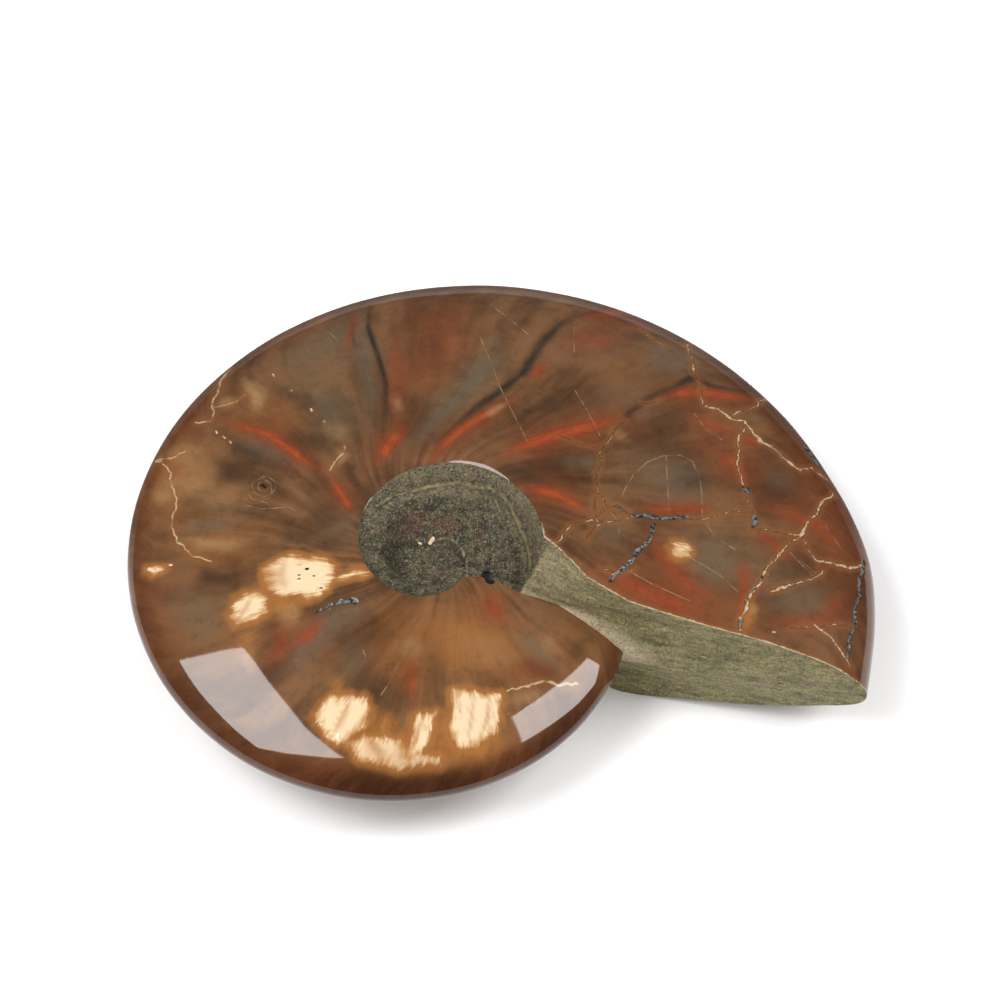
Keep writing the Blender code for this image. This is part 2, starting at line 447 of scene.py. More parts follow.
PALE_PATCHES = (
    ((292, 556), (315, 557), (332, 565), (335, 577), (328, 587), (317, 595), (305, 600), (297, 594),
     (281, 595), (268, 591), (263, 580), (265, 567), (276, 560)),
    ((229, 614), (236, 601), (248, 592), (262, 593), (269, 600), (265, 611), (253, 621), (238, 625)),
    ((314, 716), (322, 704), (334, 697), (350, 694), (364, 698), (372, 709), (362, 729), (345, 745),
     (328, 738)),
    ((418, 715), (435, 711), (434, 730), (426, 748), (414, 760), (404, 757), (409, 738)),
    ((455, 690), (476, 692), (500, 695), (501, 716), (490, 735), (475, 750), (457, 745), (450, 726)),
    ((350, 745), (366, 735), (384, 738), (402, 742), (412, 756), (440, 757), (442, 764), (398, 768),
     (372, 764), (356, 757)),
    ((338, 577), (354, 572), (367, 571), (364, 575), (346, 580)),
    ((146, 568), (155, 566), (164, 570), (155, 574)),
    ((670, 549), (675, 544), (684, 543), (690, 548), (689, 554), (680, 556), (673, 554)),
)
PATCH_HALO = 0.009  # how far from a patch its brown fibres reach
SMALLEST_RUN = 1e-9  # stands for the run of a level line, which nothing crosses
FAR_AWAY = 1.0  # more than any distance on the fossil
pale_patches = [on_top(outline) for outline in PALE_PATCHES]


def inside_patches(plan):
    """Distance inside the nearest patch's outline in metres, and less than 0 outside them."""
    deepest = np.full(len(plan), -PATCH_HALO)
    for spots in pale_patches:
        near = near_route(plan, spots, PATCH_HALO)
        x, y = plan[near].T
        inside = np.zeros(len(near), bool)
        nearest = np.full(len(near), FAR_AWAY)
        for start, end in zip(spots, np.roll(spots, -1, axis=0)):
            nearest = np.minimum(nearest, gap_and_place(plan[near], start, end)[0])
            run = end - start
            crossing = start[0] + (y - start[1]) * run[0] / (run[1] or SMALLEST_RUN)
            inside ^= ((start[1] > y) != (end[1] > y)) & (x < crossing)
        deepest[near] = np.maximum(deepest[near], np.where(inside, nearest, -nearest))
    return deepest


# The colours of the shell lie in soft streaks along its ribs. A streak is its half width in
# millimetres, its strength and its route in pixels. The widest ones tone whole parts of the shell.

RED_STROKES = (
    (1.2, 0.9, ((220, 420), (245, 427), (270, 435), (290, 450), (307, 462), (327, 472))),
    (0.9, 1.0, ((332, 480), (342, 495), (352, 512))),
    (1.2, 0.45, ((345, 355), (352, 330), (358, 312))),
    (2.2, 0.40, ((392, 340), (398, 370), (395, 400), (400, 425))),
    (2.0, 0.95, ((402, 428), (388, 447), (378, 462))),
    (1.5, 1.0, ((510, 400), (490, 412), (465, 427), (447, 442), (432, 460))),
    (0.7, 0.8, ((545, 362), (532, 380))),
    (2.2, 0.95, ((620, 418), (577, 430), (552, 436), (527, 445), (502, 456))),
    (2.0, 0.95, ((525, 487), (557, 495), (577, 505), (587, 512))),
    (1.6, 0.6, ((585, 318), (620, 312), (650, 320))),
    (1.8, 0.9, ((657, 399), (675, 394), (700, 392), (725, 396), (755, 400))),
    (2.4, 0.45, ((690, 415), (715, 425), (737, 437))),
    (1.2, 0.7, ((740, 437), (762, 443))),
    (2.0, 0.6, ((720, 455), (735, 465), (745, 478))),
    (1.6, 0.7, ((640, 508), (675, 510), (712, 508))),
    (2.6, 0.70, ((600, 572), (620, 582), (650, 594), (680, 606), (705, 614))),
    (2.0, 0.60, ((652, 535), (662, 556), (684, 582), (712, 600))),
    (2.2, 0.55, ((765, 508), (790, 513), (820, 528), (840, 550))),
    (2.2, 0.45, ((770, 622), (800, 622), (830, 615), (845, 590))),
    (1.6, 0.60, ((742, 560), (746, 590), (737, 620))),
    (1.3, 0.55, ((755, 530), (775, 545), (790, 560))),
    (5.0, 0.15, ((420, 320), (450, 340), (460, 370))),
    (3.5, 0.25, ((560, 345), (590, 340), (620, 345))),
    (1.5, 0.7, ((295, 645), (312, 632), (322, 622))),
    (2.5, 0.45, ((275, 625), (285, 645), (270, 665))),
    (2.2, 0.5, ((485, 590), (495, 610), (505, 620))),
    (2.4, 0.30, ((510, 675), (535, 668), (560, 672))),
    (0.8, 0.6, ((410, 660), (412, 700))),
)
GOLD_STROKES = (
    (2.2, 0.9, ((245, 380), (258, 395), (257, 412))),
    (2.0, 0.6, ((217, 405), (235, 400))),
    (3.0, 0.6, ((165, 455), (185, 452), (200, 460))),
    (4.0, 0.6, ((165, 480), (168, 505))),
    (4.0, 0.4, ((200, 500), (240, 505))),
    (1.8, 0.6, ((180, 540), (225, 546), (250, 540))),
    (5.0, 0.25, ((460, 640), (490, 655), (515, 645))),
    (5.0, 0.50, ((186, 462), (196, 480), (190, 500))),
    (3.0, 0.4, ((425, 650), (400, 645))),
    (1.2, 0.7, ((505, 403), (485, 417))),
    (1.5, 0.5, ((395, 395), (400, 415))),
    (1.0, 0.7, ((337, 450), (345, 456), (338, 465))),
    (2.5, 0.45, ((330, 425), (345, 440))),
    (3.0, 0.5, ((300, 620), (280, 610))),
    (2.0, 0.5, ((245, 650), (250, 670))),
    (2.0, 0.5, ((612, 430), (625, 440))),
    (1.5, 0.6, ((748, 605), (755, 615))),
    (3.0, 0.35, ((540, 640), (560, 650))),
    (2.2, 0.6, ((508, 698), (528, 698), (548, 694))),
)
DARK_STROKES = (
    (0.9, 0.9, ((370, 305), (368, 328), (380, 362), (386, 385), (386, 410), (382, 430))),
    (0.6, 0.6, ((355, 317), (352, 335), (356, 350))),
    (1.5, 0.85, ((600, 312), (575, 316), (557, 327), (540, 345), (525, 370), (502, 390), (480, 405),
                 (455, 427), (437, 443))),
    (1.2, 0.8, ((765, 395), (740, 391), (712, 386), (690, 378), (675, 387), (650, 397), (630, 412),
                (610, 440), (600, 456))),
    (3.0, 0.5, ((222, 468), (235, 476))),
    (2.5, 0.45, ((265, 383), (300, 400), (320, 415))),
    (3.5, 0.4, ((547, 408), (560, 402))),
    (2.0, 0.5, ((217, 432), (240, 447), (275, 465))),
    (2.0, 0.55, ((235, 585), (215, 575), (195, 572))),
    (3.0, 0.4, ((270, 635), (285, 650))),
    (3.5, 0.5, ((570, 645), (585, 655))),
    (3.0, 0.4, ((290, 440), (330, 440))),
    (2.5, 0.5, ((520, 665), (545, 672), (560, 680))),
    (4.0, 0.35, ((700, 470), (690, 490))),
    (2.0, 0.4, ((505, 470), (540, 480))),
)
GREY_STROKES = (
    (3.0, 0.7, ((490, 340), (500, 352), (482, 372), (465, 392), (447, 410), (422, 435), (392, 455))),
    (2.5, 0.6, ((362, 310), (360, 340), (368, 370), (372, 400), (368, 430))),
    (5.0, 0.5, ((300, 385), (325, 400), (340, 430))),
    (6.0, 0.5, ((312, 348), (335, 335), (350, 350))),
    (2.5, 0.6, ((235, 440), (270, 455), (292, 462))),
    (2.0, 0.6, ((182, 530), (215, 525), (245, 524))),
    (4.0, 0.7, ((280, 675), (295, 660), (315, 640), (332, 622), (370, 605))),
    (5.0, 0.5, ((175, 600), (200, 620), (215, 645))),
    (2.5, 0.6, ((515, 632), (540, 652), (565, 680))),
    (5.0, 0.5, ((650, 340), (680, 360), (640, 370))),
    (6.0, 0.55, ((650, 470), (680, 480), (670, 500))),
    (5.0, 0.6, ((700, 540), (715, 560), (700, 580))),
    (4.0, 0.5, ((790, 590), (810, 600), (780, 605))),
    (4.0, 0.4, ((355, 640), (350, 680))),
    (4.0, 0.4, ((620, 540), (600, 520))),
    (3.0, 0.5, ((560, 460), (600, 465))),
    (4.0, 0.4, ((770, 470), (790, 490))),
)
AMBER_STROKES = (
    (3.5, 0.8, ((270, 600), (290, 605), (300, 600))),
    (2.5, 0.5, ((255, 625), (245, 645), (250, 665))),
    (3.5, 0.85, ((375, 718), (388, 728), (398, 735))),
    (3.0, 0.85, ((440, 715), (443, 735), (440, 755))),
    (2.5, 0.7, ((365, 755), (400, 765), (440, 762), (480, 750))),
    (2.0, 0.8, ((485, 695), (487, 715), (485, 735))),
    (2.0, 0.9, ((751, 597), (749, 612), (743, 630))),
    (3.0, 0.5, ((465, 760), (485, 748), (505, 735))),
    (7.0, 0.35, ((425, 655), (465, 640), (505, 650))),
    (2.0, 0.6, ((332, 680), (342, 690))),
    (2.5, 0.5, ((270, 580), (275, 570))),
)
# Brown veins cross the pale patches.
VEIN_STROKES = (
    (0.6, 0.85, ((352, 697), (345, 714), (334, 736))),
    (0.5, 0.75, ((367, 710), (357, 728), (346, 742))),
    (0.5, 0.55, ((474, 694), (472, 715), (468, 742))),
    (0.6, 0.65, ((489, 697), (488, 716), (481, 738))),
    (0.6, 0.60, ((424, 714), (417, 736), (409, 752))),
    (2.4, 0.85, ((270, 566), (269, 578), (272, 590))),
    (1.2, 0.50, ((285, 560), (281, 575), (286, 590))),
    (3.4, 0.40, ((352, 748), (380, 756), (410, 762), (440, 762))),
    (1.4, 0.80, ((366, 736), (374, 746), (384, 758))),
    (1.4, 0.80, ((396, 740), (404, 750), (402, 762))),
    (0.7, 0.60, ((252, 597), (244, 610), (238, 620))),
)
# Painted shade makes the rim darkest at the front, under the patches, where it turns down towards the floor.
FRONT_RIM_SHADE_STROKES = (
    (5.0, 1.00, ((290, 778), (340, 786), (400, 790), (460, 784), (510, 770))),
    (3.5, 0.70, ((510, 770), (555, 748), (590, 712))),
)
# A little red stains the stone by the eye of the coil.
NAVEL_RED_STROKES = (
    (1.8, 0.90, ((405, 534), (414, 521), (424, 515))),
    (1.6, 0.70, ((430, 521), (445, 522), (458, 530))),
)
RED_BROWN_STROKES = (
    (12.0, 0.70, ((790, 430), (830, 500), (855, 600))),
    (9.0, 0.60, ((620, 586), (690, 610), (750, 625))),
    (9.0, 0.60, ((690, 420), (730, 460), (760, 500))),
    (10.0, 0.50, ((400, 325), (440, 320), (475, 320))),
    (8.0, 0.55, ((395, 380), (420, 370), (450, 350))),
    (8.0, 0.50, ((270, 345), (305, 325), (340, 312))),
    (8.0, 0.45, ((140, 540), (150, 500), (175, 440), (215, 385))),
    (7.0, 0.45, ((560, 345), (600, 335), (640, 330))),
    (8.0, 0.50, ((560, 440), (600, 425), (640, 410))),
    (7.0, 0.75, ((230, 755), (300, 782), (400, 790), (500, 777), (570, 740))),
    (6.0, 0.50, ((300, 630), (330, 640))),
    (6.0, 0.45, ((480, 600), (500, 620))),
    (9.0, 0.45, ((140, 560), (150, 620), (170, 680))),
)
TAN_STROKES = (
    (10.0, 0.75, ((165, 450), (175, 480), (178, 505))),
    (9.0, 0.60, ((450, 630), (490, 650), (520, 665))),
    (8.0, 0.50, ((235, 390), (262, 405), (300, 430))),
    (7.0, 0.60, ((350, 755), (420, 768), (500, 745))),
    (7.0, 0.50, ((390, 620), (405, 650), (420, 690))),
    (8.0, 0.50, ((180, 540), (230, 545), (260, 540))),
    (5.0, 0.40, ((420, 375), (440, 390))),
    (11.0, 0.40, ((345, 655), (400, 635), (450, 640), (500, 660))),
    (9.0, 0.40, ((545, 640), (575, 660), (590, 680))),
    (8.0, 0.35, ((600, 385), (640, 372), (675, 385))),
    (9.0, 0.45, ((190, 610), (210, 640), (230, 665))),
)
OLIVE_STROKES = (
    (10.0, 0.75, ((290, 380), (320, 350), (345, 325))),
    (8.0, 0.55, ((320, 420), (345, 440))),
    (6.0, 0.70, ((325, 505), (345, 535))),
    (10.0, 0.50, ((640, 345), (670, 360), (700, 375))),
    (7.0, 0.60, ((495, 340), (470, 380), (430, 420))),
    (10.0, 0.70, ((700, 545), (730, 565), (780, 585))),
    (8.0, 0.50, ((540, 340), (600, 345), (650, 350))),
    (8.0, 0.70, ((590, 405), (620, 395), (660, 405))),
    (8.0, 0.50, ((350, 330), (372, 360), (378, 410))),
    (9.0, 0.45, ((780, 600), (810, 610), (835, 625))),
    (9.0, 0.65, ((640, 465), (680, 480), (690, 500))),
    (9.0, 0.40, ((175, 590), (205, 620), (220, 650))),
)
# Painted shade: these darken the shell where it lies in shade, along the front rim where it turns under,
# round the navel, and in a few darker places on the flank.
PAINTED_SHADE_STROKES = (
    (7.0, 0.70, ((540, 455), (570, 470), (590, 490))),
    (7.0, 0.65, ((330, 655), (350, 640), (390, 610))),
    (6.0, 0.60, ((400, 390), (412, 420), (400, 440))),
    (7.0, 0.50, ((250, 560), (220, 575), (190, 570))),
    (6.0, 0.85, ((330, 784), (390, 790), (440, 787), (490, 777))),
    (5.0, 0.50, ((318, 505), (335, 530))),
    (3.5, 0.60, ((490, 779), (545, 755), (585, 720), (610, 680))),
    (4.0, 0.45, ((165, 690), (210, 740), (265, 770), (330, 786))),
    (5.0, 0.60, ((354, 350), (372, 390), (387, 440))),
    (6.0, 0.55, ((392, 444), (425, 428), (455, 428))),
    (7.0, 0.50, ((478, 440), (502, 418), (528, 402))),
    (6.0, 0.45, ((545, 405), (575, 395), (610, 390))),
    (5.0, 0.45, ((300, 440), (330, 450))),
    (7.0, 0.45, ((680, 440), (690, 470), (700, 500))),
    (6.0, 0.45, ((760, 480), (790, 500))),
    (6.0, 0.35, ((405, 640), (428, 660), (436, 682))),
)
# The polish is dull in two spots beside the pale patches, where the shell is softer.
DULL_STROKES = (
    (4.5, 1.0, ((336, 573), (345, 566), (354, 561))),
    (4.0, 1.0, ((290, 624), (300, 610), (309, 598))),
)
THIN_STREAK = 2.3  # half width in millimetres under which a streak needs fine triangles
HALO_GROWTH = 2.6  # width of a streak's glow over its own, and what is added to it
HALO_MARGIN = 1.5
HALO_STRENGTH = 0.55


def haloes(strokes):
    """The wide dim glow round the streaks."""
    wide = [HALO_GROWTH * width + HALO_MARGIN for width, _, _ in strokes]
    return [(width, HALO_STRENGTH * most, route) for width, (_, most, route) in zip(wide, strokes)]


def thin(strokes):
    """The streaks that need fine triangles, as marks in plan."""
    return placed([(width, route) for width, _, route in strokes if width < THIN_STREAK])


thin_streaks = thin(RED_STROKES + GOLD_STROKES + DARK_STROKES + AMBER_STROKES + VEIN_STROKES)


# The whole surface is one closed skin. It starts as the coil's rows, the broken face and the rings
# of the navels, and its triangles are then halved where stone, cracks and patches need fine ones.

FLAT_DEPTH = 0.0048  # ground off the lowest point, for the fossil to rest on
KINDS = range(5)
UPPER_SHELL, LOWER_SHELL, BROKEN_FACE, UPPER_STONE, LOWER_STONE = KINDS
UPPER_RINGS = 24  # rings of stone in each navel
LOWER_RINGS = 14
RING_EASING = 0.9  # below 1, the rings lie closer at the edge

# The longest edge that a triangle may have where each of these shows.
STONE_GRAIN = 0.00070
CRACK_GRAIN = 0.00025
SEAM_GRAIN = 0.00030
PATCH_GRAIN = 0.00060
STREAK_GRAIN = 0.0009
FLAT_GRAIN = 0.0010
KIND_GRAINS = {UPPER_SHELL: 0.0019, LOWER_SHELL: 0.0034, LOWER_STONE: 0.0025}
SPREADING = 1.0  # how fast the triangles may grow with distance from what needs fine ones
TOO_LONG = 1.4  # an edge is halved when it is this much longer than wanted
HALVING_ROUNDS = 6
SMALLEST_AREA = 1e-12

points, faces, kinds = [], [], []  # a point is x, y, z and its share of a turn


def add_points(new):
    points.extend(new)
    return list(range(len(points) - len(new), len(points)))


def add_strip(first, second, kind_of_column):
    """Two triangles between each pair of neighbours in two lines of points."""
    for column, (a, b, c, d) in enumerate(zip(first, first[1:], second[1:], second)):
        faces.extend([(a, b, c), (a, c, d)])
        kinds.extend([kind_of_column(column)] * 2)


def fill_navel(edge, side, rings, kind):
    """Rings of stone that shrink from the edge of the navel to its eye."""
    eye = EYE_SHIFT * np.array([-math.sin(CUT_BEARING), math.cos(CUT_BEARING)])
    edge_plan = np.array([points[i] for i in edge])[:, :2]
    outer = edge
    for share in (1 - np.arange(1, rings) / rings) ** RING_EASING:
        plan = eye + (edge_plan - eye) * share
        inner = add_points(np.column_stack([plan, side * stone_height(plan), np.zeros(len(plan))]))
        add_strip(outer + outer[:1], inner + inner[:1], lambda column: kind)
        outer = inner
    (middle,) = add_points([(*eye, side * EYE_LEVEL, 0)])
    for a, b in zip(outer, outer[1:] + outer[:1]):
        faces.append((a, b, middle))
        kinds.append(kind)


upper_columns = sum(UPPER_STEPS)
rows = [add_points(whorl_row(share)) for share in np.linspace(0, 1, TURN_STEPS + 1)]
for newer, older in zip(rows, rows[1:]):
    add_strip(newer, older, lambda column: UPPER_SHELL if column < upper_columns else LOWER_SHELL)

upper_start, lower_start = UPPER_STEPS[0], LOWER_STEPS[0]
top, foot = rows[0][upper_start:-lower_start], rows[-1][upper_start:-lower_start]
top_points, foot_points = (np.array([points[i] for i in line]) for line in (top, foot))
wall = [foot]
for share in np.linspace(0, 1, WALL_STEPS + 1)[1:-1]:
    wall.append(add_points(foot_points * (1 - share) + top_points * share))
wall.append(top)
for lower, upper in zip(wall, wall[1:]):
    add_strip(lower, upper, lambda column: BROKEN_FACE)

for side, steps, rings, kind in (
    (1, upper_start, UPPER_RINGS, UPPER_STONE),
    (-1, lower_start, LOWER_RINGS, LOWER_STONE),
):
    lip_end = slice(None, steps + 1) if side > 0 else slice(-1, -steps - 2, -1)
    edge = [row[lip_end][0] for row in rows[:-1]]
    edge += rows[-1][lip_end]
    edge += [row[0 if side > 0 else -1] for row in wall[1:]]
    edge += rows[0][lip_end][-2:0:-1]
    fill_navel(edge, side, rings, kind)

points, faces, kinds = np.array(points), np.array(faces), np.array(kinds)
mirrored = kinds == LOWER_STONE
faces[mirrored] = faces[mirrored][:, ::-1]
ground = points[:, 2].min() + FLAT_DEPTH


def wanted_length(middle, kind, low, high):
    """The longest that an edge may be, at its middle."""
    length = np.full(len(middle), STONE_GRAIN)
    for plain_kind, longest in KIND_GRAINS.items():
        length[kind == plain_kind] = longest
    shown = (kind == UPPER_SHELL) & (middle[:, 2] > 0)
    plan = middle[shown, :2]
    near_mark = clearance(wavering(plan), pale_cracks + dark_cracks + flake_edges)
    near_mark = np.minimum(near_mark, clearance(plan, hairlines + pale_specks + dark_specks))
    near_patch = np.abs(inside_patches(wavering(plan))) - PATCH_GRAIN
    near_streak = np.maximum(clearance(plan, thin_streaks), 0)
    length[shown] = np.minimum(length[shown], STREAK_GRAIN + SPREADING * near_streak)
    by_marks = CRACK_GRAIN + SPREADING * np.maximum(near_mark, 0)
    by_patches = PATCH_GRAIN + SPREADING * np.maximum(near_patch, 0)
    length[shown] = np.minimum(length[shown], np.minimum(by_marks, by_patches))
    in_navel = (kind == UPPER_STONE) & (middle[:, 2] > 0)
    near_seam = clearance(middle[in_navel, :2], navel_seams + pale_specks + dark_specks)
    length[in_navel] = np.minimum(STONE_GRAIN, SEAM_GRAIN + SPREADING * np.maximum(near_seam, 0))
    length[(low < ground) & (high > ground)] = FLAT_GRAIN
    return length


def outward(points, faces):
    """Which way is out at each point."""
    a, b, c = (points[faces[:, corner], :3] for corner in range(3))
    across = np.cross(b - a, c - a)
    out = np.zeros((len(points), 3))
    for corner in range(3):
        np.add.at(out, faces[:, corner], across)
    return out / np.maximum(np.linalg.norm(out, axis=1), SMALLEST_AREA)[:, None]


def at_creases(faces, kinds):
    """The points where shell and stone meet."""
    shell = np.unique(faces[kinds <= LOWER_SHELL])
    return np.intersect1d(shell, np.unique(faces[kinds > LOWER_SHELL]))


def halve_long_edges(points, faces, kinds):
    """Each edge that is too long gets a point at its middle, and its triangles are cut there."""
    ends = np.sort(np.stack([faces, np.roll(faces, -1, axis=1)], axis=2), axis=2).reshape(-1, 2)
    codes = ends[:, 0] * len(points) + ends[:, 1]
    codes, first, edge_of = np.unique(codes, return_index=True, return_inverse=True)
    i, j = ends[first].T
    a, b = points[i], points[j]
    edge_kinds = np.zeros(len(codes), int)
    np.maximum.at(edge_kinds, edge_of, np.repeat(kinds, 3))
    low, high = np.minimum(a[:, 2], b[:, 2]), np.maximum(a[:, 2], b[:, 2])
    middle = (a + b) / 2
    wanted = wanted_length(middle, edge_kinds, low, high)
    long = np.linalg.norm((b - a)[:, :3], axis=1) > TOO_LONG * wanted
    number = np.full(len(codes), -1)
    number[long] = len(points) + np.arange(long.sum())
    # The new points rise to the round surface between their neighbours.
    out = outward(points, faces)
    out[at_creases(faces, kinds)] = 0
    for end, at in ((a, i), (b, j)):
        short = np.einsum("ij,ij->i", (end - middle)[:, :3], out[at])
        rise = (edge_kinds <= LOWER_SHELL) * short / 4
        middle[:, :3] += rise[:, None] * out[at]
    cut = number[edge_of].reshape(-1, 3)
    halves = (cut >= 0).sum(axis=1)
    made, made_kinds = [faces[halves == 0]], [kinds[halves == 0]]
    for turn in range(3):
        (f0, f1, f2), (m0, m1, m2) = np.roll(faces, -turn, axis=1).T, np.roll(cut, -turn, axis=1).T
        one = (halves == 1) & (m0 >= 0)
        two = (halves == 2) & (m2 < 0)
        for chosen, corners in (
            (one, (f0, m0, f2)),
            (one, (m0, f1, f2)),
            (two, (m0, f1, m1)),
            (two, (f0, m0, m1)),
            (two, (f0, m1, f2)),
            (halves == 3, (f0, m0, m2)),
        ):
            made.append(np.column_stack(corners)[chosen])
            made_kinds.append(kinds[chosen])
    made.append(cut[halves == 3])
    made_kinds.append(kinds[halves == 3])
    return np.concatenate([points, middle[long]]), np.concatenate(made), np.concatenate(made_kinds)


for _ in range(HALVING_ROUNDS):
    points, faces, kinds = halve_long_edges(points, faces, kinds)


# Out of the ground the stone is rough, and only the shell is polished. So the stone gets its grains
# and pits, the cracks lie a little under the polish, and the skin is laid on the ground it rests on.

NAVEL_ROUGHNESS = 0.00045
FACE_ROUGHNESS = 0.00045
LOWER_ROUGHNESS = 0.00040
COARSE_LUMPS, COARSE_SHARE = 0.0055, 0.75  # size of the stone's lumps, and their share in the relief
FINE_LUMPS, FINE_SHARE = 0.0018, 0.55
FACE_STRETCH = (0.45, 0.45, 1.3)  # the lumps of the broken face lie flat
PALE_CRACK_DEPTH = 0.00006
DARK_CRACK_DEPTH = 0.00012
HAIRLINE_DEPTH = 0.00004
CRACK_EDGE = 0.0003  # width in which a crack reaches its depth
DARK_CRACK_EDGE = 0.0004
SEAM_RISE, SEAM_WIDTH = 0.00040, 0.0007
DOT_DEPTH = 0.0012
PATCH_SWELL, PATCH_LUMPS, PATCH_EDGE = 0.00010, 0.0012, 0.001
POLISH_WAVES, WAVE_SIZE = 0.00012, 0.022
EDGE_FADE = 0.0006  # the stone is smooth this near to the edge of the shell
UPPER_REACH = -0.006  # height down to which the marks of the upper side may show
NOISE_FALLOFF = 1.0  # how fast the layers of the relief's noise weaken
NOISE_STEP = 2.1  # how much finer each layer is than the last


def grains(spots, scale, stretch=(1, 1, 1), octaves=3):
    """Layered noise from -1 to 1 at these spots, with grains of this scale in metres."""
    at = spots * np.array(stretch) / scale
    return np.array([noise.fractal(Vector(spot), NOISE_FALLOFF, NOISE_STEP, octaves) for spot in at])


def gap_to_points(spots, others):
    """Distance of each spot from the nearest of the others."""
    tree = kdtree.KDTree(len(others))
    for number, other in enumerate(others):
        tree.insert(other, number)
    tree.balance()
    return np.array([tree.find(spot)[2] for spot in spots])


spots, shares = points[:, :3].copy(), points[:, 3]
out = outward(points, faces)
crease = at_creases(faces, kinds)
edge_gap = gap_to_points(spots, spots[crease])
on_kind = np.zeros((len(spots), len(KINDS)), bool)
for kind in KINDS:
    on_kind[np.unique(faces[kinds == kind]), kind] = True
on_shell = on_kind[:, UPPER_SHELL] | on_kind[:, LOWER_SHELL]
upper = spots[:, 2] > UPPER_REACH
plan = spots[upper, :2]
uneven = wavering(plan)


def gap_field(plan, marks):
    """Each point's distance from the nearest of these marks of the upper side."""
    gaps = np.full(len(spots), FAR)
    gaps[upper] = clearance(plan, marks)
    return gaps


pale_gap = gap_field(uneven, pale_cracks)
dark_gap = gap_field(uneven, dark_cracks)
hair_gap = gap_field(plan, hairlines)
flake_gap = gap_field(uneven, flake_edges)
speck_gap = gap_field(plan, pale_specks)
dot_gap = gap_field(plan, dark_specks)
seam_gap = gap_field(plan, navel_seams)
patch_depth = np.full(len(spots), -PATCH_HALO)
patch_depth[upper] = inside_patches(uneven)

relief = np.zeros(len(spots))
for kind, roughness, stretch in (
    (UPPER_STONE, NAVEL_ROUGHNESS, (1, 1, 1)),
    (BROKEN_FACE, FACE_ROUGHNESS, FACE_STRETCH),
    (LOWER_STONE, LOWER_ROUGHNESS, (1, 1, 1)),
):
    here = on_kind[:, kind] & ~on_shell
    coarse = COARSE_SHARE * grains(spots[here], COARSE_LUMPS, stretch)
    fine = FINE_SHARE * grains(spots[here], FINE_LUMPS, stretch)
    relief[here] = roughness * (coarse + fine)
in_upper_navel = on_kind[:, UPPER_STONE]
relief += in_upper_navel * SEAM_RISE * np.exp(-((np.maximum(seam_gap, 0) / SEAM_WIDTH) ** 2))
relief -= DOT_DEPTH * eased(1 - dot_gap / CRACK_EDGE) * ~on_shell
relief *= eased(edge_gap / EDGE_FADE)
relief[on_shell] = POLISH_WAVES * grains(spots[on_shell], WAVE_SIZE, octaves=2)
relief -= PALE_CRACK_DEPTH * eased(-pale_gap / CRACK_EDGE) * on_shell
relief -= DARK_CRACK_DEPTH * eased(-dark_gap / DARK_CRACK_EDGE) * on_shell
relief -= HAIRLINE_DEPTH * eased(1 - hair_gap / CRACK_EDGE) * on_shell
relief += PATCH_SWELL * grains(spots, PATCH_LUMPS) * eased(patch_depth / PATCH_EDGE) * on_shell
relief *= ~on_kind[:, BROKEN_FACE] | ~on_shell

# The skin is then drawn to the box of the solid that it covers, by less than a tenth of a millimetre.
skin = spots + out * relief[:, None]
skin[:, 2] = np.maximum(skin[:, 2], ground)
box_low, box_high = (np.array(corner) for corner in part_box("ammonite"))
skin_low, skin_high = skin.min(axis=0), skin.max(axis=0)
fit = (box_high - box_low) / (skin_high - skin_low)
coil_axis = box_low - skin_low * fit
skin = box_low + (skin - skin_low) * fit


# The colours grew along the shell's ribs, which start at the navel, lean back and sweep forward at
# the rim. Each point of the skin keeps its place on the ribs, so that what is striped follows them.

# How far a rib leans, in degrees, at each share of the way from the rim to the axis.
RIB_SWEEP = ((-0.05, -7), (0, -7), (0.1, -1), (0.2, 0), (0.45, 1), (0.6, 6), (0.755, 18), (1, 34))
RIB_SPACING = 0.100  # metres along the coil for each radian of a rib's place
SIDES_APART = 0.1  # metres that keep the stripes of the two sides apart
STROKE_EDGE = 2.6  # 2 gives a streak soft edges, and more gives it firm ones
STROKE_REACH = 2.2  # half widths from its middle within which a streak shows
END_STRENGTH = 0.35  # what is left of a streak at its ends
END_SHARE = 0.3  # share of a streak over which its ends fade
END_NARROWING = 0.4
SUNNY_BEARING = (0.5, 0.87)  # plan direction of the navel's brighter wall

bearing, distance = turned_back(spots[:, :2])
back = bearing + FULL_TURN * np.round((FULL_TURN * shares - bearing) / FULL_TURN)
drop = flank_and_drop(distance, back)[1]
inward = 1 - distance / rim_radius(back)
at_share, sweep = np.array(RIB_SWEEP).T
rib = back - np.radians(np.interp(inward, at_share, sweep))
across_rib = rim_radius(back) - distance - drop
grown = np.column_stack([rib * RIB_SPACING, across_rib, SIDES_APART * np.sign(spots[:, 2])])


def fading(value, start, end):
    """1 up to the start, 0 from the end on, and smooth between."""
    return 1 - eased((value - start) / (end - start))


on_top_side = fading(-spots[:, 2], 0.004, 0.012)
# The navel's wall on this side is painted lighter, as light falls on it.
sunny_side = fading(-(spots[:, :2] @ SUNNY_BEARING), -0.022, 0.018)


